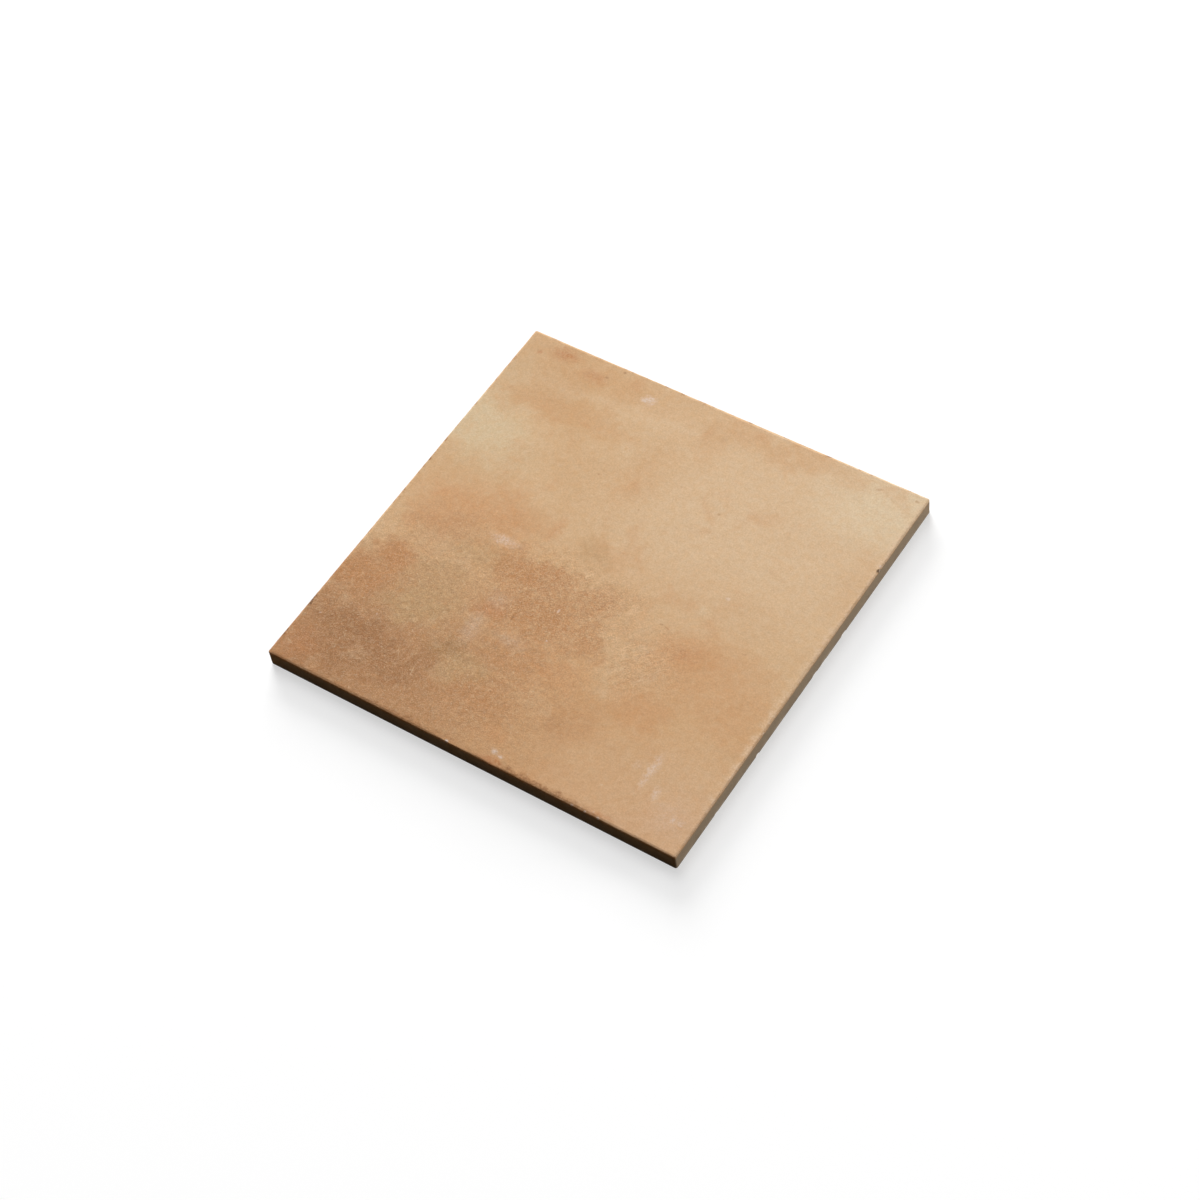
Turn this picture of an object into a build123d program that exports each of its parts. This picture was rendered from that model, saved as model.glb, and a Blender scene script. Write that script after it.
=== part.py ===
"""A square porcelain floor tile in one piece, dry pressed and fired.

The wearing face is flat and meets the walls in a soft arris whose width wanders
along each side, as on a tile made to look like hand-made clay. The back carries a
lattice of low ribs with shallow square pockets between them, which key into the
adhesive bed, and the foot of the walls is eased so that the tile leaves the die.

The origin is the centre of the back, on the plane that the ribs rest on.
+Z points to the wearing face, and X and Y run along the sides. Sizes are in millimetres.
"""

import os
from math import cos, pi, radians, sin

from build123d import *

# The slab
side = 200.0  # from wall to wall, both ways
thickness = 8.5  # from the ribs' resting plane to the wearing face
corner_radius = 0.9  # of the four upright corners
foot_bevel = 0.3  # of the eased edge under the walls, each way

# The arris round the wearing face, a quarter ellipse whose inner line wanders
arris_height = 1.0  # how far down the walls it reaches
arris_inset = 0.9  # its mean width, seen from above
arris_bands = 3  # that its curve is made of
wave_share = 0.45  # of the mean width, that the long waves add or take
wave_count = 1.5  # long waves along one side
wave_phases = (0.5, 0.0, 0.2, 0.7)  # of the sides that face -Y, +X, +Y and -X, in turns
ripple_share = 0.12  # of the mean width, that the short waves add or take
ripple_count = 7.0  # short waves along one side
points_per_ripple = 4  # of the wandering line

# The back
rim_width = 6.0  # flat margin round the lattice
rib_width = 2.5
pockets_per_row = 10
pocket_depth = 0.5
pocket_draft = 40.0  # degrees that the pocket's walls lean from upright
pocket_corner_cut = 1.5  # of the pocket's four corners, each way

pocket_pitch = (side - 2 * rim_width + rib_width) / pockets_per_row
pocket_side = pocket_pitch - rib_width


def wander(share, phase):
    """How much wider than its mean the arris is, at a share of one side's length."""
    long_wave = wave_share * cos(2 * pi * (wave_count * (share - 0.5) + phase))
    ripple = ripple_share * sin(2 * pi * (ripple_count * share + phase))
    fade_to_corners = sin(pi * share)
    return arris_inset * (long_wave + ripple) * fade_to_corners


def side_points(half, corner, share_of_inset, phase):
    """The arris's line along the side that faces -Y, between its two corners."""
    steps = round(ripple_count * points_per_ripple)
    points = []
    for step in range(steps + 1):
        share = step / steps
        along = (half - corner) * (2 * share - 1)
        points.append(Vector(along, wander(share, phase) * share_of_inset - half))
    return points


def arris_ring(angle):
    """The arris's outline at an angle up its curve, 0 at the wall and 90 at the face."""
    share_of_inset = 1 - cos(radians(angle))
    level = thickness - arris_height * (1 - sin(radians(angle)))
    inset = arris_inset * share_of_inset
    half = side / 2 - inset
    corner = corner_radius + inset / 2
    with BuildSketch(Plane.XY.offset(level)) as ring:
        with BuildLine():
            for turn, phase in enumerate(wave_phases):
                along = Vector(1, 0).rotate(Axis.Z, 90 * turn)
                across = Vector(0, 1).rotate(Axis.Z, 90 * turn)
                points = side_points(half, corner, share_of_inset, phase)
                turned_points = [point.rotate(Axis.Z, 90 * turn) for point in points]
                side_line = Spline(turned_points, tangents=(along, along))
                RadiusArc(side_line @ 1, side_line @ 1 + corner * (along + across), -corner)
        make_face()
    return ring.sketch


with BuildPart() as tile:
    # The slab up to the foot of the arris, with the eased edge under its walls
    with BuildSketch():
        RectangleRounded(side, side, corner_radius)
    extrude(amount=thickness - arris_height)
    chamfer(tile.faces().sort_by(Axis.Z)[0].edges(), length=foot_bevel)

    # The arris turns over from the straight walls to the wandering line
    loft([arris_ring(90 * band / arris_bands) for band in range(arris_bands + 1)], ruled=True)

    # The pockets of the back, with ribs left between them
    with BuildSketch() as pockets:
        with GridLocations(pocket_pitch, pocket_pitch, pockets_per_row, pockets_per_row):
            Rectangle(pocket_side, pocket_side)
        chamfer(pockets.vertices(), length=pocket_corner_cut)
    extrude(amount=pocket_depth, taper=pocket_draft, mode=Mode.SUBTRACT)

tile.part.label = "tile"
os.makedirs("parts", exist_ok=True)
export_step(tile.part, "parts/tile.step")
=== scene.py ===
"""A clay-look porcelain tile lying on a pale studio floor.

The tile is one modelled piece in place of its plain solid: a clouded wearing face, a soft arris
that wanders along each side, pressed walls with small chips, and a ribbed back.
Lengths are in metres, apart from places and sizes on the tile's surface, which are in millimetres.
"""

from collections import namedtuple
from math import cos, pi, radians, sin

import bpy
import numpy as np
from mathutils import Matrix, Vector


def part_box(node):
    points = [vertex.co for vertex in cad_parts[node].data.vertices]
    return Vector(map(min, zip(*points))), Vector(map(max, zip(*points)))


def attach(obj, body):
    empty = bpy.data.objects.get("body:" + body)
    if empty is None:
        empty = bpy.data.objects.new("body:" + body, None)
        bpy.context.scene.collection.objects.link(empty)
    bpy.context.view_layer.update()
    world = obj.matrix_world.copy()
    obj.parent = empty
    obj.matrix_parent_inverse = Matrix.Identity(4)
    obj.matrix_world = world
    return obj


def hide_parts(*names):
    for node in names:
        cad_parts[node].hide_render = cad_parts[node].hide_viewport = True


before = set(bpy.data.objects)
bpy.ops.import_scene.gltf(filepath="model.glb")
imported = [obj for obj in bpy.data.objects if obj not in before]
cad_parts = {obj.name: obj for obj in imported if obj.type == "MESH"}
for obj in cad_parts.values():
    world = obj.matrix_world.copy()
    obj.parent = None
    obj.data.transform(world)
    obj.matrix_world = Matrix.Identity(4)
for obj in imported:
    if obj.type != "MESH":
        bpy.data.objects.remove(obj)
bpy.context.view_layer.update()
lowest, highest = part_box("tile")

MM = 0.001
SIDE = highest.x - lowest.x
TOP = highest.z

# The slab's edges, as in the solid
CORNER_RADIUS = 0.9 * MM
FOOT_BEVEL = 0.3 * MM
FOOT_TURN = 0.3  # of the bevel's height and width, where the foot is a little rounded
FOOT_CURVE = 1.5  # the power by which the foot of the upright corners draws in
ARRIS_HEIGHT = 1.0 * MM
ARRIS_INSET = 0.9 * MM
ARRIS_FOOT = TOP - ARRIS_HEIGHT
SHOULDER = 4.0  # of the arris's curve: 2 is a quarter ellipse, and more is squarer
WAVE_SHARE = 0.45
WAVE_COUNT = 1.5
WAVE_PHASES = (0.5, 0.0, 0.2, 0.7)  # of the sides that face -Y, +X, +Y and -X
RIPPLE_SHARE = 0.12
RIPPLE_COUNT = 7.0

# The back, as in the solid
RIM_WIDTH = 6.0 * MM
RIB_WIDTH = 2.5 * MM
POCKETS_PER_ROW = 10
POCKET_DEPTH = 0.5 * MM
POCKET_DRAFT = radians(40)
POCKET_CORNER_CUT = 1.5 * MM
POCKET_SIDES = 8  # with its corners cut
POCKET_PITCH = (SIDE - 2 * RIM_WIDTH + RIB_WIDTH) / POCKETS_PER_ROW
SOFT_EDGE = 0.12 * MM  # of the ribs' edges, which the press leaves a little round

# How finely the piece is divided, and which of its folds stay sharp
FACE_CELLS = 234
CELL_CROWDING = 0.13  # how much narrower the face's cells get towards the sides
CROWDING_POWER = 7  # a higher one crowds only the cells nearest the sides
ARRIS_BANDS = 6
WALL_BANDS = 7
FACE_STRAY_DEPTH = 5 * MM  # how far into the face the arris's waves are felt
FACE_MARGIN = 0.01 * MM  # under the face, where the walls' grit ends
RIB_FOLD = radians(20)  # a sharper fold than this is an edge of a rib, and is softened
SMOOTH_FOLD = radians(35)  # a sharper fold than this shows as an edge

FACE_FINISH, BODY_FINISH, BREAK_FINISH = range(3)  # the order of the tile's materials


def srgb(red, green, blue):
    """A colour as a screen shows it, from 0 to 255, as linear light with full opacity."""
    shares = np.array([red, green, blue]) / 255
    linear = np.where(shares <= 0.04045, shares / 12.92, ((shares + 0.055) / 1.055) ** 2.4)
    return (*(float(value) for value in linear), 1.0)


# Modelling


def pick(*things):
    """Select these objects alone, with the first one active."""
    bpy.ops.object.select_all(action="DESELECT")
    for thing in things:
        thing.select_set(True)
    bpy.context.view_layer.objects.active = things[0]


def edit(thing):
    """Select one object alone and go into edit mode on it."""
    pick(thing)
    bpy.ops.object.mode_set(mode="EDIT")


def leave_edit():
    bpy.ops.object.mode_set(mode="OBJECT")


def crowd_towards_sides(thing, half):
    """Narrow the face's cells towards the sides, where the arris needs them."""
    for vertex in thing.data.vertices:
        for axis in (0, 1):
            share = vertex.co[axis] / half
            eased = (1 + CELL_CROWDING) * share - CELL_CROWDING * share**CROWDING_POWER
            vertex.co[axis] = half * eased


def ring_sizes():
    """Half width and height of each ring below the face's edge, down to the foot."""
    rings = []
    for band in range(1, ARRIS_BANDS + 1):
        angle = pi / 2 * (1 - band / ARRIS_BANDS)
        inset = ARRIS_INSET * (1 - cos(angle) ** (2 / SHOULDER))
        drop = ARRIS_HEIGHT * (1 - sin(angle) ** (2 / SHOULDER))
        rings.append((SIDE / 2 - inset, TOP - drop))
    for band in range(1, WALL_BANDS + 1):
        height = ARRIS_FOOT + (FOOT_BEVEL - ARRIS_FOOT) * band / WALL_BANDS
        rings.append((SIDE / 2, height))
    rings.append((SIDE / 2 - FOOT_BEVEL * FOOT_TURN, FOOT_BEVEL * FOOT_TURN))
    rings.append((SIDE / 2 - FOOT_BEVEL, 0.0))
    return rings


def add_slab():
    """The face as a fine sheet, with its edge drawn down ring by ring to the foot."""
    half = SIDE / 2 - ARRIS_INSET
    bpy.ops.mesh.primitive_grid_add(
        x_subdivisions=FACE_CELLS,
        y_subdivisions=FACE_CELLS,
        size=2 * half,
        location=(0, 0, TOP),
    )
    slab = bpy.context.object
    bpy.ops.object.transform_apply(location=True)
    crowd_towards_sides(slab, half)
    edit(slab)
    bpy.ops.mesh.select_all(action="SELECT")
    bpy.ops.mesh.region_to_loop()
    height = TOP
    for ring_half, ring_height in ring_sizes():
        drop = (0, 0, ring_height - height)
        bpy.ops.mesh.extrude_edges_move(TRANSFORM_OT_translate={"value": drop})
        growth = ring_half / half
        bpy.ops.transform.resize(value=(growth, growth, 1), center_override=(0, 0, 0))
        half, height = ring_half, ring_height
    leave_edit()
    return slab


def wander(share, phase):
    """How much wider than its mean the arris is, at a share of one side's length."""
    long_wave = WAVE_SHARE * np.cos(2 * pi * (WAVE_COUNT * (share - 0.5) + phase))
    ripple = RIPPLE_SHARE * np.sin(2 * pi * (RIPPLE_COUNT * share + phase))
    return ARRIS_INSET * (long_wave + ripple) * np.sin(pi * share)


def points_of(thing):
    places = np.empty(len(thing.data.vertices) * 3)
    thing.data.vertices.foreach_get("co", places)
    return places.reshape(-1, 3)


def put_points(thing, places):
    thing.data.vertices.foreach_set("co", places.ravel())
    thing.data.update()


def round_corners(flat, straight):
    """Draw the points beyond the straight part of both sides onto their corner's arc."""
    beyond = np.abs(flat) - straight[:, None]
    in_corner = (beyond > 0).all(axis=1)
    reach = beyond[in_corner]
    pull = reach.max(axis=1) / np.linalg.norm(reach, axis=1)
    signs = np.sign(flat[in_corner])
    flat[in_corner] = signs * (straight[in_corner, None] + reach * pull[:, None])


def shape_outline(slab):
    """Round the four upright corners and let the arris's inner line wander."""
    places = points_of(slab)
    flat, heights = places[:, :2], places[:, 2]
    rise = np.clip((heights - ARRIS_FOOT) / ARRIS_HEIGHT, 0, 1)
    inset_share = 1 - (1 - rise**SHOULDER) ** (1 / SHOULDER)
    foot = np.clip(1 - heights / FOOT_BEVEL, 0, 1)
    half = SIDE / 2 - ARRIS_INSET * inset_share - FOOT_BEVEL * foot**FOOT_CURVE
    straight = half - (CORNER_RADIUS + ARRIS_INSET * inset_share / 2)
    round_corners(flat, straight)
    for turn, phase in enumerate(WAVE_PHASES):
        along = np.array([cos(pi / 2 * turn), sin(pi / 2 * turn)])
        inwards = np.array([-along[1], along[0]])
        share = np.clip((flat @ along / straight + 1) / 2, 0, 1)
        depth = half + flat @ inwards
        closeness = np.clip(1 - depth / FACE_STRAY_DEPTH, 0, 1) ** 2
        stray = wander(share, phase) * inset_share * closeness
        flat += stray[:, None] * inwards
    put_points(slab, places)


def add_back():
    """The ribbed back inside its rim, with a shallow pocket pressed into each cell."""
    bpy.ops.mesh.primitive_grid_add(
        x_subdivisions=POCKETS_PER_ROW,
        y_subdivisions=POCKETS_PER_ROW,
        size=POCKET_PITCH * POCKETS_PER_ROW,
        location=(0, 0, 0),
    )
    back = bpy.context.object
    edit(back)
    bpy.ops.mesh.select_all(action="SELECT")
    bpy.ops.mesh.inset(thickness=RIB_WIDTH / 2, use_individual=True)
    bpy.ops.mesh.bevel(affect="VERTICES", offset=POCKET_CORNER_CUT, segments=1)
    bpy.ops.mesh.select_face_by_sides(number=POCKET_SIDES, extend=False)
    run = POCKET_DEPTH * np.tan(POCKET_DRAFT)
    bpy.ops.mesh.inset(thickness=run, depth=POCKET_DEPTH, use_individual=True)
    bpy.ops.mesh.select_all(action="DESELECT")
    bpy.ops.mesh.edges_select_sharp(sharpness=RIB_FOLD)
    bpy.ops.mesh.bevel(affect="EDGES", offset=SOFT_EDGE, segments=2)
    bpy.ops.mesh.select_all(action="SELECT")
    bpy.ops.mesh.flip_normals()
    leave_edit()
    return back


def join_back(slab, back):
    """Close the slab with its back, across the flat rim."""
    pick(slab, back)
    bpy.ops.object.join()
    edit(slab)
    bpy.ops.mesh.select_all(action="DESELECT")
    bpy.ops.mesh.select_non_manifold(extend=False, use_boundary=True, use_wire=False,
                                     use_multi_face=False, use_non_contiguous=False, use_verts=False)
    bpy.ops.mesh.bridge_edge_loops()
    bpy.ops.mesh.select_all(action="SELECT")
    bpy.ops.mesh.normals_make_consistent(inside=False)
    leave_edit()


def sink(thing, name, weights, size, depth, direction):
    """Sink the surface unevenly by up to a depth, as far as the weights let it."""
    group = thing.vertex_groups.new(name=name)
    for index in np.flatnonzero(weights):
        group.add([int(index)], float(weights[index]), "REPLACE")
    texture = bpy.data.textures.new(name, "CLOUDS")
    texture.noise_scale = size
    texture.noise_depth = 3
    modifier = thing.modifiers.new(name, "DISPLACE")
    modifier.texture = texture
    modifier.texture_coords = "LOCAL"
    modifier.direction = direction
    modifier.mid_level = 0
    modifier.strength = -depth
    modifier.vertex_group = name
    pick(thing)
    bpy.ops.object.modifier_apply(modifier=name)
    thing.vertex_groups.clear()


def roughen(tile):
    """The face lies a little wavy, and the walls and arrises are rough from the press."""
    heights = points_of(tile)[:, 2]
    on_face = np.clip((heights - ARRIS_FOOT) / ARRIS_HEIGHT, 0, 1)
    on_walls = ((heights > FOOT_BEVEL / 2) & (heights < TOP - FACE_MARGIN)).astype(float)
    sink(tile, "wavy_face", on_face, size=16 * MM, depth=0.16 * MM, direction="Z")
    sink(tile, "uneven_walls", on_walls, size=5 * MM, depth=0.16 * MM, direction="NORMAL")
    sink(tile, "gritty_walls", on_walls, size=1.1 * MM, depth=0.10 * MM, direction="NORMAL")


Chip = namedtuple("Chip", "x y z wide deep high")  # its middle, and its half sizes along X, Y and Z

CHIPS = [
    # Out of the arris over the front wall
    Chip(-9, -100, 8.1, 0.9, 0.75, 0.6),
    Chip(-11.5, -100, 8.0, 0.5, 0.5, 0.4),
    Chip(51.5, -100, 8.1, 0.55, 0.6, 0.45),
    Chip(57.5, -100, 8.1, 0.5, 0.55, 0.4),
    Chip(64, -100, 8.1, 0.6, 0.6, 0.45),
    Chip(-63, -100, 8.2, 0.4, 0.4, 0.3),
    # Out of the arris over the right wall
    Chip(100, 58, 7.7, 0.9, 1.1, 0.8),
    Chip(100, 61, 8.1, 0.5, 0.7, 0.4),
    Chip(100, -34, 8.2, 0.5, 1.3, 0.35),
    # Out of the right wall's foot
    Chip(100, 28, 0.1, 0.7, 2.2, 0.7),
    Chip(100, 12, 0.0, 0.5, 2.6, 0.5),
    Chip(100, 5, 0.1, 0.6, 2.4, 0.6),
    Chip(100, -39.5, 0.1, 0.8, 1.4, 0.8),
    Chip(100, -71, 0.0, 0.5, 1.6, 0.5),
    # Nicks along the far sides
    Chip(-100, 10, 8.2, 0.4, 1.2, 0.35),
    Chip(-100, -67, 8.1, 0.5, 1.0, 0.4),
    Chip(-100, -87, 8.2, 0.45, 0.8, 0.35),
    Chip(35, 100, 8.2, 1.0, 0.45, 0.35),
]


def break_chips(tile):
    """Break small chips out of the edges, each with a rough bed."""
    bites = []
    for chip in CHIPS:
        bpy.ops.mesh.primitive_ico_sphere_add(
            subdivisions=3,
            radius=1.0,
            location=[place * MM for place in (chip.x, chip.y, chip.z)],
            scale=[size * MM for size in (chip.wide, chip.deep, chip.high)],
        )
        bites.append(bpy.context.object)
    pick(*bites)
    bpy.ops.object.join()
    bite = bites[0]
    bpy.ops.object.transform_apply(location=True, rotation=True, scale=True)
    everywhere = np.ones(len(bite.data.vertices))
    sink(bite, "rough_break", everywhere, size=0.5 * MM, depth=0.3 * MM, direction="NORMAL")
    for material in tile.data.materials:
        bite.data.materials.append(material)
    for polygon in bite.data.polygons:
        polygon.material_index = BREAK_FINISH
    cut = tile.modifiers.new("chips", "BOOLEAN")
    cut.operation = "DIFFERENCE"
    cut.solver = "EXACT"
    cut.object = bite
    pick(tile)
    bpy.ops.object.modifier_apply(modifier="chips")
    bpy.data.objects.remove(bite)


def keep_flats_flat(thing):
    """Let each normal follow the largest face at its corner, so that flat faces shade flat."""
    modifier = thing.modifiers.new("flats", "WEIGHTED_NORMAL")
    modifier.keep_sharp = True
    bpy.ops.object.modifier_apply(modifier="flats")


def make_tile():
    """The whole piece, shaped, finished and chipped."""
    tile = add_slab()
    shape_outline(tile)
    join_back(tile, add_back())
    tile.name = "clay_look_tile"
    tile.data.name = "clay_look_tile"
    roughen(tile)
    give_finishes(tile)
    break_chips(tile)
    pick(tile)
    bpy.ops.object.shade_smooth_by_angle(angle=SMOOTH_FOLD)
    keep_flats_flat(tile)
    return tile


# Materials

COLOUR_UNDER, COLOUR_OVER, COLOUR_OUT = 6, 7, 2  # sockets of a mix node that hold colours
ANY_HEIGHT = 1e6  # millimetres, so that a spot shows at every height
SPECK_FADE = 0.1  # from a speck that is left out to one that shows, on the scale of rarity


class Recipe:
    """One material's nodes, from places on the surface to its shader."""

    def __init__(self, name):
        self.material = bpy.data.materials.new(name)
        self.material.use_nodes = True
        self.tree = self.material.node_tree
        self.shader = self.tree.nodes["Principled BSDF"]
        coordinates = self.add("ShaderNodeTexCoord")
        inputs = {"Vector": coordinates.outputs["Object"], "Scale": (1 / MM,) * 3}
        self.place = self.add("ShaderNodeMapping", inputs).outputs["Vector"]  # in millimetres

    def add(self, kind, inputs=None, **settings):
        """A new node, with its settings, and its inputs linked or set."""
        node = self.tree.nodes.new(kind)
        for name, value in settings.items():
            setattr(node, name, value)
        for name, value in (inputs or {}).items():
            self.give(node.inputs[name], value)
        return node

    def give(self, socket, value):
        if isinstance(value, bpy.types.NodeSocket):
            self.tree.links.new(value, socket)
        else:
            socket.default_value = value

    def noise(self, size, detail=3.0, roughness=0.5, place=None, distortion=0.0):
        """A grey noise from 0 to 1 whose features are about so many millimetres wide."""
        inputs = {"Vector": place or self.place, "Scale": 1 / size, "Detail": detail,
                  "Roughness": roughness, "Distortion": distortion}
        return self.add("ShaderNodeTexNoise", inputs).outputs["Fac"]

    def math(self, operation, first, second=0.0):
        node = self.add("ShaderNodeMath", operation=operation)
        self.give(node.inputs[0], first)
        self.give(node.inputs[1], second)
        return node.outputs["Value"]

    def plus(self, first, second):
        return self.math("ADD", first, second)

    def times(self, first, second):
        return self.math("MULTIPLY", first, second)

    def stronger(self, first, second):
        return self.math("MAXIMUM", first, second)

    def swing(self, noise):
        """How far a noise lies from its middle, below it or above it."""
        return self.math("SUBTRACT", noise, 0.5)

    def span(self, value, low, high, to_low=0.0, to_high=1.0):
        """The value eased from to_low at low to to_high at high."""
        inputs = {"Value": value, "From Min": low, "From Max": high, "To Min": to_low, "To Max": to_high}
        return self.add("ShaderNodeMapRange", inputs, interpolation_type="SMOOTHSTEP").outputs["Result"]

    def between(self, share, at_none, at_full):
        """A value that goes with a share, from none of it to the full one."""
        return self.span(share, 0.0, 1.0, at_none, at_full)

    def blend(self, share, under, over, way="MIX"):
        """One colour with a share of another over it."""
        node = self.add("ShaderNodeMix", data_type="RGBA", blend_type=way, clamp_factor=True)
        self.give(node.inputs["Factor"], share)
        self.give(node.inputs[COLOUR_UNDER], under)
        self.give(node.inputs[COLOUR_OVER], over)
        return node.outputs[COLOUR_OUT]

    def shaded(self, colour, shade):
        """The colour made lighter or darker by a factor."""
        inputs = {0: colour, "Scale": shade}
        return self.add("ShaderNodeVectorMath", inputs, operation="SCALE").outputs["Vector"]

    def shifted(self, place, size, amount, detail=2.0):
        """The place moved about by a noise, so that what is drawn there gets a natural outline."""
        inputs = {"Vector": place, "Scale": 1 / size, "Detail": detail}
        drift = self.add("ShaderNodeTexNoise", inputs).outputs["Color"]
        centred = self.add("ShaderNodeVectorMath", {0: drift, 1: (0.5, 0.5, 0.5)}, operation="SUBTRACT")
        moved = {0: centred.outputs["Vector"], 1: (amount, amount, 0), 2: place}
        return self.add("ShaderNodeVectorMath", moved, operation="MULTIPLY_ADD").outputs["Vector"]

    def stretched(self, angle, stretch):
        """Places that draw a pattern out along one direction of the face."""
        inputs = {"Vector": self.place, "Rotation": (0, 0, radians(angle)), "Scale": (stretch, 1, 1)}
        return self.add("ShaderNodeMapping", inputs, vector_type="TEXTURE").outputs["Vector"]

    def spot(self, place, spot, core=0.0):
        """How strongly one spot shows: its strength within its core, down to 0 at its reach."""
        round_fall = self.add("ShaderNodeTexGradient", {"Vector": place}, gradient_type="SPHERICAL")
        where = round_fall.texture_mapping
        where.vector_type = "TEXTURE"
        where.translation = (spot.x, spot.y, 0)
        where.rotation = (0, 0, radians(spot.turn))
        where.scale = (spot.wide, spot.high, ANY_HEIGHT)
        return self.span(round_fall.outputs["Fac"], 0.0, 1.0 - core, 0.0, spot.strength)

    def stained(self, colour, place, spots, core=0.0):
        """The colour with each spot laid over it in turn."""
        for spot in spots:
            colour = self.blend(self.spot(place, spot, core), colour, spot.tone)
        return colour

    def fibres(self, size, width):
        """1 along thin curling lines, and 0 between them."""
        winding = self.noise(size, detail=2, distortion=1.2)
        off_line = self.math("ABSOLUTE", self.swing(winding))
        return self.span(off_line, 0.0, width, 1.0, 0.0)

    def specks(self, size, reach, rarity, place=None):
        """1 on small specks, about one in each so many millimetres where they aren't left out."""
        inputs = {"Vector": place or self.place, "Scale": 1 / size}
        cells = self.add("ShaderNodeTexVoronoi", inputs)
        near = self.span(cells.outputs["Distance"], reach / 2, reach, 1.0, 0.0)
        draw = self.add("ShaderNodeSeparateColor", {0: cells.outputs["Color"]}).outputs[0]
        return self.times(near, self.span(draw, rarity, rarity + SPECK_FADE))

    def raise_by(self, height):
        """Let the light fall on the surface as if it stood out by a height in millimetres."""
        bump = self.add("ShaderNodeBump", {"Height": self.times(height, MM), "Distance": 1.0})
        self.give(self.shader.inputs["Normal"], bump.outputs["Normal"])

    def finished(self, colour, roughness, shine, relief):
        """The material, with its colour, roughness, shine and relief led to its shader."""
        self.give(self.shader.inputs["Base Color"], colour)
        self.give(self.shader.inputs["Roughness"], roughness)
        self.give(self.shader.inputs["Specular IOR Level"], shine)
        self.raise_by(relief)
        return self.material


# A soft spot of colour: its middle, its half sizes, its turn in degrees, its strength and tone
Spot = namedtuple("Spot", "x y wide high turn strength tone")

PALE_SAND = srgb(221, 199, 166)
CREAM = srgb(213, 190, 154)
SAND = srgb(216, 184, 147)
LIGHT_TAN = srgb(210, 174, 133)
TAN = srgb(206, 167, 124)
HONEY = srgb(202, 156, 110)
PINK_TAN = srgb(209, 169, 133)
PAINTED_RIM_HIGHLIGHT = srgb(222, 189, 155)
KHAKI = srgb(186, 149, 106)
OLIVE = srgb(160, 123, 82)
ORANGE = srgb(201, 148, 101)
RUST = srgb(182, 127, 80)
BRICK = srgb(186, 124, 79)
BROWN = srgb(170, 123, 83)
UMBER = srgb(150, 104, 65)
SOOT = srgb(78, 52, 32)
CHALK = srgb(225, 205, 190)
HAZE = srgb(204, 176, 152)
WARM_TINT = (1.0, 0.964, 0.916, 1)
PALE_TINT = (1.01, 1.028, 1.054, 1)

BODY_BROWN = srgb(150, 133, 113)
BODY_TAN = srgb(172, 154, 130)
FOOT_DUST = srgb(206, 190, 168)
RIB_WASH = srgb(206, 196, 178)
BREAK_TAN = srgb(206, 186, 160)
BREAK_PALE = srgb(240, 230, 214)

BROAD_FALL_AND_PAINTED_SHADE = [
    # From pale sand at the far right to brown at the near left, partly the clay's colour and partly
    # painted shade
    Spot(58, 62, 125, 100, 10, 0.95, SAND),
    Spot(-14, -100, 190, 130, 0, 0.75, HONEY),
    Spot(88, -92, 80, 55, 0, 0.6, PINK_TAN),
    Spot(-80, -88, 135, 85, 0, 0.85, BROWN),
]

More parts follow.
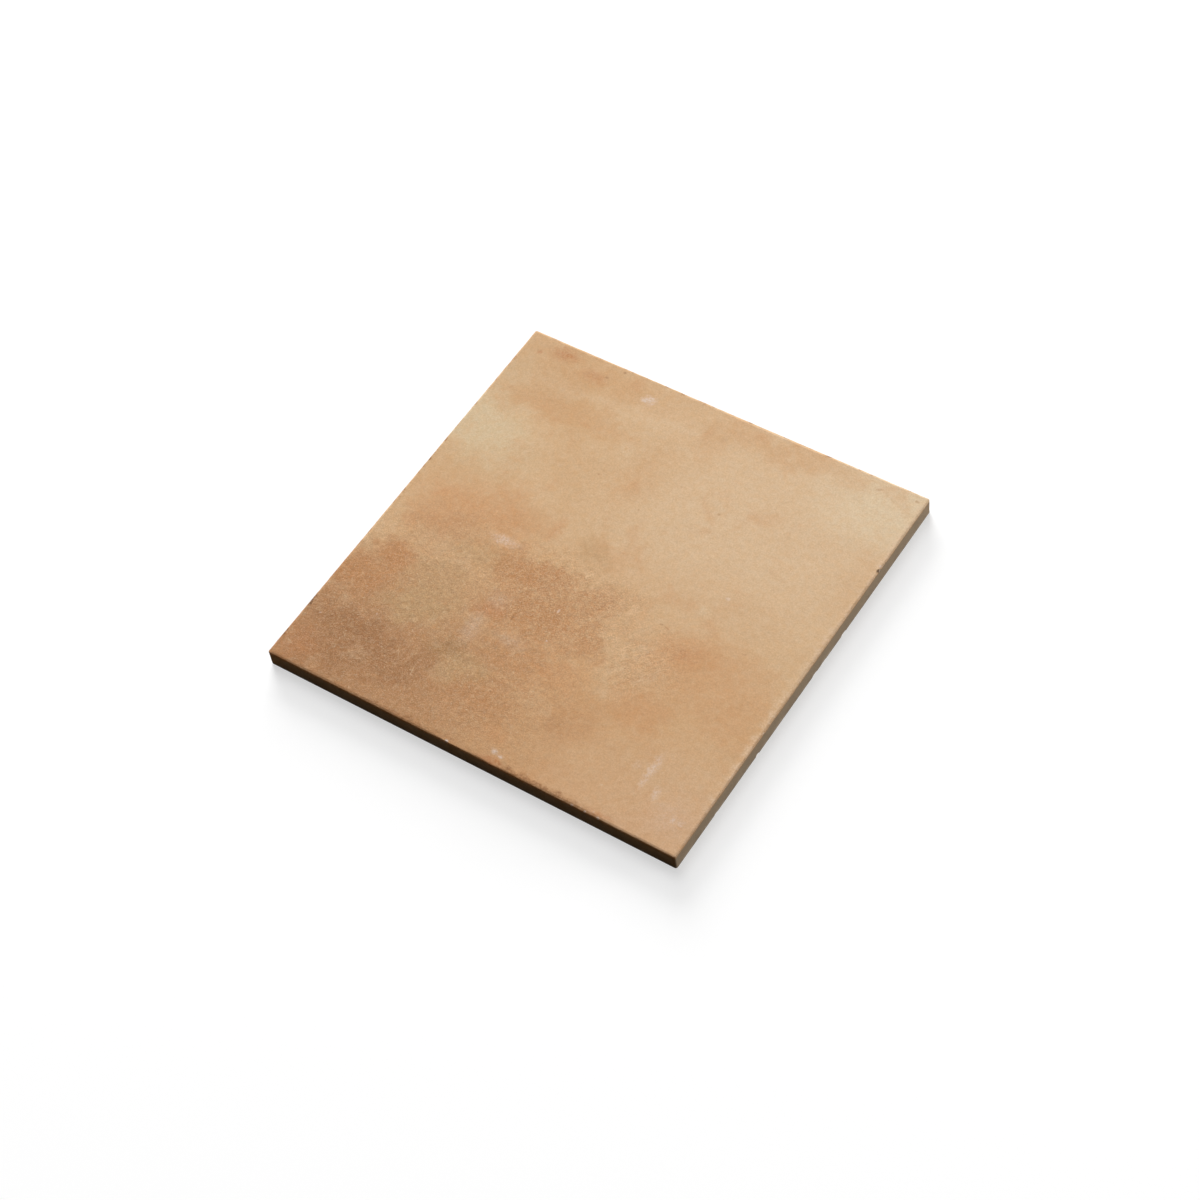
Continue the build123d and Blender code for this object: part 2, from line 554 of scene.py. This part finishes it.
CLOUDS = [
    # Pale clouds
    Spot(92, 88, 48, 32, 12, 0.85, PALE_SAND),
    Spot(-92, 45, 34, 24, 0, 0.85, CREAM),
    Spot(-74, 36, 26, 18, -10, 0.4, CREAM),
    Spot(-98, 6, 13, 44, 0, 0.4, LIGHT_TAN),
    Spot(-96, -26, 13, 15, 0, 0.5, LIGHT_TAN),
    Spot(-20, 84, 30, 12, 0, 0.6, SAND),
    Spot(-58, 79, 40, 6, 2, 0.4, SAND),
    Spot(-94, 72, 10, 22, 0, 0.35, CREAM),
    Spot(30, -32, 13, 19, 8, 0.75, LIGHT_TAN),
    Spot(28, -8, 20, 12, 0, 0.5, LIGHT_TAN),
    Spot(-26, 10, 18, 10, 0, 0.4, LIGHT_TAN),
    Spot(60, -80, 40, 24, 0, 0.4, TAN),
    Spot(90, -70, 26, 16, 0, 0.3, SAND),
    # Khaki clouds
    Spot(-50, -14, 20, 9, 0, 0.75, KHAKI),
    Spot(-62, -34, 20, 16, 0, 0.65, KHAKI),
    Spot(-58, -50, 26, 15, 8, 1.0, KHAKI),
    Spot(-24, -67, 18, 11, 0, 0.9, KHAKI),
    Spot(-8, 10, 13, 8, 0, 0.5, KHAKI),
    # Orange clouds
    Spot(-58, 66, 42, 10, 3, 0.35, HONEY),
    Spot(-52, 90, 52, 12, 0, 0.5, HONEY),
    Spot(-14, 50, 14, 26, 0, 0.35, HONEY),
    Spot(38, 94, 48, 9, 0, 0.45, HONEY),
    Spot(4, 84, 12, 20, 0, 0.35, HONEY),
    Spot(95, 50, 12, 32, 0, 0.2, HONEY),
    Spot(56, 8, 36, 26, 0, 0.15, HONEY),
    Spot(0, 12, 18, 8, 0, 0.25, ORANGE),
    Spot(-64, 4, 44, 22, 0, 0.65, ORANGE),
    Spot(-60, 4, 34, 7, 5, 0.3, ORANGE),
    Spot(-76, -8, 22, 9, -5, 0.6, ORANGE),
    Spot(-86, -14, 9, 6, 0, 0.6, ORANGE),
    Spot(54, -17, 20, 12, 12, 0.5, ORANGE),
    Spot(72, -24, 46, 26, 0, 0.45, ORANGE),
    Spot(90, -40, 20, 12, 0, 0.2, ORANGE),
    Spot(50, -30, 14, 10, 0, 0.25, ORANGE),
    Spot(50, -50, 22, 13, 0, 0.6, ORANGE),
    Spot(14, -52, 22, 9, 0, 0.35, ORANGE),
    # Rust and brown clouds
    Spot(-72, -10, 24, 12, 0, 0.3, BROWN),
    Spot(-84, 80, 34, 26, 0, 0.12, BROWN),
    Spot(-83, -32, 14, 12, 20, 0.85, RUST),
    Spot(-92, -48, 26, 14, 0, 0.8, RUST),
    Spot(-22, -14, 32, 11, 4, 0.8, RUST),
    Spot(8, -13, 17, 14, 0, 0.6, RUST),
    Spot(-10, -29, 38, 15, 0, 0.8, RUST),
    Spot(12, -33, 22, 11, 0, 0.45, RUST),
    Spot(-2, -41, 26, 7, 0, 0.4, ORANGE),
    Spot(-30, -38, 14, 8, 0, 0.6, RUST),
    Spot(-4, -52, 30, 14, 0, 0.5, RUST),
    Spot(30, -67, 20, 19, 20, 0.35, RUST),
    Spot(-10, -76, 26, 14, 0, 0.45, RUST),
    Spot(-74, -73, 32, 14, -6, 0.8, UMBER),
    Spot(-66, -86, 28, 13, 8, 0.5, UMBER),
    Spot(-42, -76, 10, 20, -14, 0.5, UMBER),
    Spot(-37, -62, 13, 9, 20, 0.7, OLIVE),
    Spot(-86, -88, 32, 18, 8, 0.6, BROWN),
    Spot(-74, -88, 34, 17, 0, 0.3, UMBER),
    Spot(-92, -90, 16, 14, 0, 0.35, BRICK),
]

TIDE_LINES = [
    # Washes that dried with a sharp edge
    Spot(-58, 68, 38, 6.5, 3, 0.2, HONEY),
    Spot(-82, -32, 11, 9, 20, 0.2, RUST),
    Spot(-34, -14, 16, 10, -30, 0.25, RUST),
    Spot(74, -62, 30, 16, 0, 0.2, TAN),
]

SCORCHES = [
    Spot(-80, 94, 11, 6, 5, 0.75, BRICK),
    Spot(-91, 90, 2.4, 2, 0, 0.5, BRICK),
    Spot(-62, 89.5, 10, 5, 0, 0.5, BRICK),
    Spot(-42, 95, 6, 8, 0, 0.5, ORANGE),
    Spot(21, 95, 8, 5, 0, 0.5, ORANGE),
    Spot(-29, 12, 4, 11, 0, 0.6, ORANGE),
    Spot(-84, 5, 8, 4, 40, 0.5, ORANGE),
    Spot(6, -87, 11, 7, 0, 0.7, ORANGE),
    Spot(-30, -37, 9, 6, 0, 0.5, BRICK),
    Spot(53, -17, 10, 6, 20, 0.35, BRICK),
    Spot(24, -72, 6, 6, 20, 0.3, BROWN),
]

RUBS = [
    # Chalky rubs
    Spot(-45, -4.5, 11, 3.4, 0, 0.6, CHALK),
    Spot(-33, 89.5, 5, 3.4, 10, 1.0, CHALK),
    Spot(70.6, -69, 3.2, 11, 0, 0.6, CHALK),
    Spot(70.4, -77, 2.4, 6, 0, 0.35, CHALK),
    Spot(64, -71, 3, 3, 0, 0.25, CHALK),
    Spot(78, -79, 2.4, 5, 5, 0.5, CHALK),
    Spot(90.4, -86, 1.6, 1.3, 0, 0.8, CHALK),
    Spot(94, -86, 2.2, 2, 0, 0.4, CHALK),
    Spot(88, -86, 14, 12, 0, 0.22, CHALK),
    Spot(11, -94, 3, 2.2, -20, 0.9, CHALK),
    Spot(14.5, -95, 2.4, 1.4, 10, 0.8, CHALK),
    Spot(-32, -48, 6, 13, 6, 0.6, HAZE),
    Spot(-14, -46, 12, 5, 0, 0.5, HAZE),
    Spot(-30, -31, 9, 7, 0, 0.4, HAZE),
    # Pale smears
    Spot(-26, 61, 4, 7, 0, 0.45, PALE_SAND),
    Spot(-25, 9, 5, 8, 0, 0.4, SAND),
    Spot(12, 6, 8, 6, 0, 0.5, SAND),
    Spot(48, 5, 5, 4, 0, 0.4, PALE_SAND),
    Spot(46, -34, 10, 4, 50, 0.6, SAND),
    Spot(38, -24, 12, 5, 60, 0.45, SAND),
    Spot(36, -48, 14, 4, 30, 0.35, SAND),
    Spot(-86, -63, 5, 6, 0, 0.3, SAND),
]

# Wear along the edges, with painted highlight and painted shade where the arrises catch or lose the
# light
EDGE_WEAR_AND_PAINTED_LIGHT = [
    # A painted highlight along the right side's rim
    Spot(100, -20, 3.6, 100, 0, 0.8, PAINTED_RIM_HIGHLIGHT),
    Spot(100, 70, 3.2, 60, 0, 0.6, PAINTED_RIM_HIGHLIGHT),
    Spot(100.6, 0, 1.8, 150, 0, 1.0, PAINTED_RIM_HIGHLIGHT),
    Spot(98, -14, 3.4, 34, 0, 0.5, SAND),
    # Painted shade on the two far sides, where their arrises turn over
    Spot(0, 100.6, 170, 1.4, 0, 1.0, UMBER),
    Spot(-100.6, 0, 1.4, 170, 0, 1.0, UMBER),
    # Painted shade along the front side's arris, where it turns down, with brown and brick smudges
    Spot(32, -99, 44, 2.4, 0, 0.85, UMBER),
    Spot(-34, -99, 30, 2, 0, 0.7, UMBER),
    Spot(-12, -98, 10, 2.4, -4, 0.5, BROWN),
    Spot(12, -98.4, 8, 2.6, -5, 0.6, BRICK),
    Spot(64, -98, 8, 2.4, 3, 0.45, BRICK),
    Spot(-85, -99, 18, 1.6, 0, 0.5, UMBER),
    # Dark nicks along the far left side
    Spot(-99.6, 80, 1.2, 5, 0, 0.5, BROWN),
    Spot(-99.6, 10, 1.2, 4, 0, 0.5, BROWN),
    Spot(-99.6, -6, 1.2, 3, 0, 0.5, BROWN),
    Spot(-99.6, -69, 1.2, 5, 0, 0.7, SOOT),
    Spot(-99.6, -87, 1.2, 4, 0, 0.7, SOOT),
]

PITS = [
    Spot(26.5, 50.5, 1.3, 0.8, 20, 0.4, BROWN),
    Spot(5, 55.5, 0.9, 0.6, 0, 0.35, BROWN),
    Spot(-30, 44.5, 0.7, 0.7, 0, 0.5, BROWN),
    Spot(36, -9, 1.2, 0.6, 30, 0.5, BROWN),
    Spot(39, -9.6, 2.0, 0.5, -10, 0.5, BROWN),
    Spot(73.5, -5.5, 1.3, 0.4, 30, 0.45, BROWN),
    Spot(-4.5, 36.5, 0.7, 0.6, 0, 0.4, BROWN),
    Spot(-56.5, 91.5, 1.4, 0.9, 0, 0.45, UMBER),
    Spot(-51, 97.5, 1.2, 0.8, 0, 0.5, UMBER),
    Spot(1, -73, 1.9, 0.5, 50, 0.5, UMBER),
    Spot(-20, -36, 0.7, 2.2, 10, 0.6, UMBER),
    Spot(79, 94, 2.2, 0.9, 30, 0.35, BROWN),
    Spot(96, 96, 1.5, 0.9, 0, 0.4, BROWN),
    Spot(-29.4, -88.3, 1.0, 0.7, 0, 0.45, UMBER),
    Spot(99.5, 57.2, 0.8, 1.3, 0, 0.9, SOOT),
]

GRAINS_AND_BREAK_HIGHLIGHTS = [
    Spot(-5, -24, 0.8, 1.5, 0, 0.45, CHALK),
    Spot(-1, -39, 0.7, 0.7, 0, 0.5, CHALK),
    Spot(57, -86, 0.9, 0.6, 30, 0.4, PALE_SAND),
    Spot(53, 15, 1.6, 1.2, 0, 0.3, CHALK),
    Spot(-71, -62, 0.6, 0.6, 0, 0.4, CHALK),
    Spot(-92.4, -73, 0.7, 0.7, 0, 0.4, CHALK),
    # Faint scratches
    Spot(-94.7, -91, 3.6, 0.3, -26, 0.35, SAND),
    Spot(-41.3, -77.7, 4.6, 0.35, -80, 0.4, SAND),
    Spot(-51.5, -73.7, 4.2, 0.35, -54, 0.25, SAND),
    # Pale breaks along the right side and the front side, partly a painted highlight on their upper
    # edges
    Spot(99.2, 59.6, 0.7, 0.7, 0, 0.8, CHALK),
    Spot(-9, -99.3, 1.1, 0.7, 0, 0.8, CHALK),
    Spot(51.7, -99.5, 0.9, 0.5, 0, 0.5, CHALK),
    Spot(57.8, -99.5, 0.8, 0.5, 0, 0.55, CHALK),
    Spot(61, -98.1, 0.6, 0.5, 0, 0.3, CHALK),
    Spot(64, -99.4, 1.2, 0.5, 0, 0.6, CHALK),
]

WORKED = Spot(-8, -22, 62, 38, 0, 1.0, None)  # where the brush dragged the slip about
DRAGGED = Spot(38, -30, 34, 34, 0, 0.9, None)  # where its strokes are longest
COARSE = Spot(-50, -60, 115, 85, 0, 1.0, None)  # where the grain of the clay shows most


def lay_clouds(face, drifting, ragged):
    """The broad fall of the clay's colours with painted shade in it, and clouds over it in ragged
    patches.
    """
    base = face.blend(face.span(face.noise(30, detail=3), 0.35, 0.65), TAN, LIGHT_TAN)
    base = face.stained(base, drifting, BROAD_FALL_AND_PAINTED_SHADE, core=0.2)
    clouded = face.stained(base, ragged, CLOUDS, core=0.25)
    patchy = face.span(face.noise(1.6, detail=6, roughness=0.78), 0.34, 0.6, to_low=0.65)
    colour = face.blend(patchy, base, clouded)
    return face.stained(colour, ragged, TIDE_LINES, core=0.7)


def lay_washes(face, colour, curling):
    """Thin washes of slip that wander over the clouds."""
    orange = face.noise(17, detail=6, roughness=0.65, distortion=0.6)
    colour = face.blend(face.span(orange, 0.52, 0.72, to_high=0.3), colour, ORANGE)
    pale = face.noise(12, detail=6, roughness=0.68, place=curling)
    return face.blend(face.span(pale, 0.54, 0.74, to_high=0.3), colour, SAND)


def brush_strokes(face, curling):
    """Grey strokes from 0 to 1, drawn out longer where the brush was dragged."""
    short = face.noise(2.0, detail=6, roughness=0.78, place=face.stretched(20, 1.5), distortion=0.4)
    swept = face.noise(2.6, detail=5, roughness=0.65, place=face.stretched(48, 4.5), distortion=0.5)
    dragged = face.spot(curling, DRAGGED, core=0.3)
    both = face.add("ShaderNodeMix", {"Factor": dragged, "A": short, "B": swept})
    return both.outputs["Result"]


def lay_strokes(face, colour, strokes, brushed):
    """Pale and dark strokes of slip where the face is brushed."""
    pale = face.times(brushed, face.span(strokes, 0.5, 0.68, to_high=0.6))
    colour = face.blend(pale, colour, TAN)
    dark = face.times(brushed, face.span(strokes, 0.5, 0.34, to_high=0.5))
    return face.blend(dark, colour, RUST)


def lay_marks(face, colour, nearby, close):
    """Burnt spots, chalky rubs, edge wear with painted highlight and painted shade, pits, pale grains
    and scratches, and pale breaks that are partly a painted highlight.
    """
    frayed = face.span(face.noise(1.0, detail=5, roughness=0.7), 0.36, 0.6, to_low=0.3)
    scorched = face.stained(colour, nearby, SCORCHES)
    colour = face.blend(frayed, colour, scorched)
    chalky = face.span(face.noise(0.9, detail=5, roughness=0.76), 0.38, 0.6, to_low=0.2)
    for rub in RUBS:
        share = face.times(face.spot(nearby, rub), chalky)
        colour = face.blend(share, colour, rub.tone)
    # Edge wear, with a painted highlight on the right rim and painted shade along the other sides
    worn_and_painted_light = face.stained(colour, nearby, EDGE_WEAR_AND_PAINTED_LIGHT, core=0.3)
    colour = face.blend(frayed, colour, worn_and_painted_light)
    colour = face.stained(colour, close, PITS, core=0.3)
    # Pale grains and scratches, and breaks that are partly a painted highlight
    return face.stained(colour, close, GRAINS_AND_BREAK_HIGHLIGHTS, core=0.3)


def lay_mottle(face, colour):
    """Warm and pale mottling that keeps the brightness."""
    mottle = face.span(face.noise(3.0, detail=5, roughness=0.68), 0.3, 0.7)
    tint = face.blend(mottle, WARM_TINT, PALE_TINT)
    return face.blend(1.0, colour, tint, "MULTIPLY")


def lay_grain(face, colour, grainy):
    """A sandy grain and an uneven shade, both deeper where the clay is grainy."""
    grain_depth = face.between(grainy, 0.5, 0.8)
    grain = face.swing(face.noise(0.75, detail=3, roughness=0.8))
    uneven = face.swing(face.noise(2.8, detail=4, roughness=0.65, distortion=0.5))
    unevenness = face.times(uneven, face.between(grainy, 0.09, 0.45))
    shade = face.plus(face.times(grain, grain_depth), unevenness)
    return face.shaded(colour, face.plus(shade, 1.0))


def lay_flecks(face, colour, grainy):
    """Pale flecks that lie along the brush's two ways, and dark specks."""
    flecked = face.between(grainy, 0.15, 0.34)
    one_way = face.specks(1.7, 0.17, 0.6, place=face.stretched(25, 2.6))
    other_way = face.specks(1.9, 0.16, 0.6, place=face.stretched(-55, 2.2))
    flecks = face.stronger(one_way, other_way)
    colour = face.blend(face.times(flecks, flecked), colour, PALE_SAND)
    dark = face.times(face.specks(2.2, 0.16, 0.6), flecked)
    return face.blend(dark, colour, UMBER)


def face_relief(face, strokes, fibres, brushed, grainy):
    """How high the face stands in millimetres, by its waves, brush strokes and grit."""
    waves = face.times(face.noise(4.5, detail=4, roughness=0.55), 0.08)
    brushwork = face.plus(face.times(strokes, 0.16), face.times(fibres, 0.04))
    relief = face.plus(waves, face.times(brushwork, brushed))
    fine = face.noise(0.9, detail=4, roughness=0.7)
    grit = face.times(fine, face.between(grainy, 0.05, 0.12))
    return face.plus(relief, grit)


def make_face_finish():
    """The fired face: clouds of clay colours with some painted shade and highlight, chalky rubs, burnt
    spots and a sandy grain.
    """
    face = Recipe("clay_face")
    drifting = face.shifted(face.place, 30, 12)
    curling = face.shifted(drifting, 9, 17, detail=4)
    ragged = face.shifted(curling, 2.4, 6, detail=5)
    nearby = face.shifted(face.place, 3.0, 5, detail=5)
    close = face.shifted(face.place, 0.7, 0.6)

    colour = lay_clouds(face, drifting, ragged)
    colour = lay_washes(face, colour, curling)

    # The brushed middle, with thin curling fibres of slip
    coarse = face.spot(drifting, COARSE, core=0.3)
    worked = face.stronger(face.spot(curling, WORKED, core=0.3), face.spot(curling, DRAGGED))
    brushed = face.stronger(worked, face.times(coarse, 0.65))
    strokes = brush_strokes(face, curling)
    colour = lay_strokes(face, colour, strokes, brushed)
    fibres = face.fibres(1.7, 0.06)
    colour = face.blend(face.times(brushed, face.times(fibres, 0.5)), colour, SAND)

    colour = lay_marks(face, colour, nearby, close)
    colour = lay_mottle(face, colour)
    grainy = face.stronger(coarse, worked)
    colour = lay_grain(face, colour, grainy)
    colour = lay_flecks(face, colour, grainy)
    roughness = face.span(face.noise(2.2, detail=5, roughness=0.6), 0.3, 0.7, 0.72, 0.9)
    relief = face_relief(face, strokes, fibres, brushed, grainy)
    return face.finished(colour, roughness, shine=0.2, relief=relief)


def make_body_finish():
    """The pressed body, bare on the walls and the back: dull brown with a fine grit."""
    body = Recipe("pressed_body")
    height = body.add("ShaderNodeSeparateXYZ", {"Vector": body.place}).outputs["Z"]
    colour = body.blend(body.noise(9, detail=4, roughness=0.6), BODY_BROWN, BODY_TAN)

    # The face's colour runs over the top of the walls, and dust clings near their foot
    ragged = body.times(body.noise(3.5, detail=4, roughness=0.6), 1.4)
    ragged_height = body.plus(height, ragged)
    run_over = body.span(ragged_height, TOP / MM - 1.1, TOP / MM - 0.3, to_high=0.75)
    colour = body.blend(run_over, colour, KHAKI)
    near_foot = body.span(ragged_height, 3.4, 1.0)
    dusty = body.times(near_foot, body.span(body.noise(9, detail=5, roughness=0.7), 0.45, 0.65))
    colour = body.blend(body.times(dusty, 0.5), colour, FOOT_DUST)

    # A pale wash lies on the ribs, and a fine grit with dark specks over it all
    on_ribs = body.span(height, 0.12, 0.02)
    wash = body.times(on_ribs, body.span(body.noise(6, detail=5, roughness=0.65), 0.35, 0.6))
    colour = body.blend(body.times(wash, 0.7), colour, RIB_WASH)
    grit = body.times(body.swing(body.noise(0.8, detail=4, roughness=0.7)), 0.5)
    colour = body.shaded(colour, body.plus(grit, 1.0))
    colour = body.blend(body.times(body.specks(2.2, 0.16, 0.5), 0.5), colour, SOOT)
    roughness = body.span(body.noise(1.5), 0.3, 0.7, 0.8, 0.95)
    relief = body.times(body.noise(0.7, detail=5, roughness=0.65), 0.06)
    return body.finished(colour, roughness, shine=0.1, relief=relief)


def make_break_finish():
    """The fresh, pale inside of the body, where a chip is broken out."""
    broken = Recipe("fresh_break")
    colour = broken.blend(broken.noise(0.5, detail=4, roughness=0.7), BREAK_TAN, BREAK_PALE)
    roughness = broken.span(broken.noise(0.4), 0.3, 0.7, 0.75, 0.95)
    relief = broken.times(broken.noise(0.3, detail=4, roughness=0.6), 0.08)
    return broken.finished(colour, roughness, shine=0.2, relief=relief)


def give_finishes(tile):
    """The face's finish runs over the arris, and the bare body shows below it."""
    for finish in (make_face_finish(), make_body_finish(), make_break_finish()):
        tile.data.materials.append(finish)
    for polygon in tile.data.polygons:
        polygon.material_index = FACE_FINISH if polygon.center.z > ARRIS_FOOT else BODY_FINISH


# The studio

# Each lamp's angles in degrees, its distance and size, and its share of the light
SOFTBOXES = [
    ("low_key", 132, 19, 6.0, 3.2, 2.1, 0.47),
    ("high_key", 132, 57, 6.0, 3.2, 4.4, 0.495),
    ("side_fill", 33, 5, 1.4, 0.6, 0.22, 0.048),
]

WORLD_LIGHT = 0.012  # so that no shadow is black
WHITE = (1, 1, 1, 1)
FLOOR_SIDE = 12.0
FLOOR_GAP = 0.1 * MM  # below the tile, so that the two surfaces don't meet
FLOOR_GREY = (0.47, 0.47, 0.47, 1)  # the part of the shown floor that takes shadow
FLOOR_GLOW = 0.595  # the part that doesn't
FLOOR_BOUNCE = (0.19, 0.09, 0.012, 1)  # what the floor throws back on the tile


def aim(thing, direction, roll=0.0):
    """Turn a lamp or camera, which looks along its own -Z, to look along a direction."""
    turn = Vector(direction).to_track_quat("-Z", "Y").to_matrix()
    thing.rotation_euler = (turn @ Matrix.Rotation(roll, 3, "Z")).to_euler()


def add_softbox(name, azimuth, elevation, distance, width, height, share):
    """A soft lamp with its share of the light on a level surface, where 1 in all is a plain level."""
    direction = Vector((
        cos(radians(azimuth)) * cos(radians(elevation)),
        sin(radians(azimuth)) * cos(radians(elevation)),
        sin(radians(elevation)),
    ))
    lamp = bpy.data.lights.new(name, "AREA")
    lamp.shape = "RECTANGLE"
    lamp.size = width
    lamp.size_y = height
    lamp.energy = share * pi**2 * distance**2 / sin(radians(elevation))
    holder = bpy.data.objects.new(name, lamp)
    bpy.context.scene.collection.objects.link(holder)
    holder.location = direction * distance
    aim(holder, -direction)
    holder.visible_camera = False


def cleared_tree(owner):
    """The empty node tree of a world or a material."""
    owner.use_nodes = True
    owner.node_tree.nodes.clear()
    return owner.node_tree


def add_shader(tree, kind, **inputs):
    """What a new shader node gives, with some of its inputs set."""
    node = tree.nodes.new(kind)
    for name, value in inputs.items():
        node.inputs[name].default_value = value
    return node.outputs[0]


def seen_directly(tree):
    """1 for what the camera sees, straight or by a reflection or through glass, else 0."""
    path = tree.nodes.new("ShaderNodeLightPath")
    seen = path.outputs["Is Camera Ray"]
    for name in ("Is Glossy Ray", "Is Transmission Ray"):
        either = tree.nodes.new("ShaderNodeMath")
        either.operation = "MAXIMUM"
        tree.links.new(seen, either.inputs[0])
        tree.links.new(path.outputs[name], either.inputs[1])
        seen = either.outputs["Value"]
    return seen


def show_apart(tree, shown, lighting, output_kind):
    """One shader for what the camera sees, and another for the light on the tile."""
    mix = tree.nodes.new("ShaderNodeMixShader")
    output = tree.nodes.new(output_kind)
    tree.links.new(seen_directly(tree), mix.inputs["Fac"])
    tree.links.new(lighting, mix.inputs[1])
    tree.links.new(shown, mix.inputs[2])
    tree.links.new(mix.outputs["Shader"], output.inputs["Surface"])


def light_studio():
    """Two key lamps, a low fill and a dim world, which shows as white."""
    for softbox in SOFTBOXES:
        add_softbox(*softbox)
    world = bpy.data.worlds.new("studio")
    bpy.context.scene.world = world
    tree = cleared_tree(world)
    dim = add_shader(tree, "ShaderNodeBackground", Strength=WORLD_LIGHT)
    white = add_shader(tree, "ShaderNodeBackground", Color=WHITE)
    show_apart(tree, white, dim, "ShaderNodeOutputWorld")


def lay_floor():
    """A pale floor that keeps the tile's shadow, and is white beyond it."""
    bpy.ops.object.select_all(action="DESELECT")
    bpy.ops.mesh.primitive_plane_add(size=FLOOR_SIDE, location=(0, 0, -FLOOR_GAP))
    floor = bpy.context.object
    floor.name = "floor"
    bpy.ops.object.transform_apply(location=True)
    material = bpy.data.materials.new("pale_floor")
    tree = cleared_tree(material)
    shadowed = add_shader(tree, "ShaderNodeBsdfDiffuse", Color=FLOOR_GREY)
    glow = add_shader(tree, "ShaderNodeEmission", Strength=FLOOR_GLOW)
    both = tree.nodes.new("ShaderNodeAddShader")
    tree.links.new(shadowed, both.inputs[0])
    tree.links.new(glow, both.inputs[1])
    bounce = add_shader(tree, "ShaderNodeBsdfDiffuse", Color=FLOOR_BOUNCE)
    show_apart(tree, both.outputs["Shader"], bounce, "ShaderNodeOutputMaterial")
    floor.data.materials.append(material)


CAMERA_PLACE = (0.46041, -0.52829, 0.93347)
CAMERA_AIM = (0.00673, -0.0107, 0.008)
CAMERA_ROLL = radians(-9.94)
LENS = 83.83  # millimetres, and so is the sensor's width
SENSOR_WIDTH = 36
NEAREST_SEEN = 0.01


def place_camera():
    camera = bpy.data.cameras.new("camera")
    camera.lens = LENS
    camera.sensor_width = SENSOR_WIDTH
    camera.clip_start = NEAREST_SEEN
    holder = bpy.data.objects.new("camera", camera)
    bpy.context.scene.collection.objects.link(holder)
    holder.location = CAMERA_PLACE
    aim(holder, Vector(CAMERA_AIM) - Vector(CAMERA_PLACE), CAMERA_ROLL)
    bpy.context.scene.camera = holder


bpy.ops.object.select_all(action="DESELECT")
tile = make_tile()
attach(tile, "root")
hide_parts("tile")

light_studio()
lay_floor()
place_camera()
bpy.context.scene.view_settings.view_transform = "Standard"
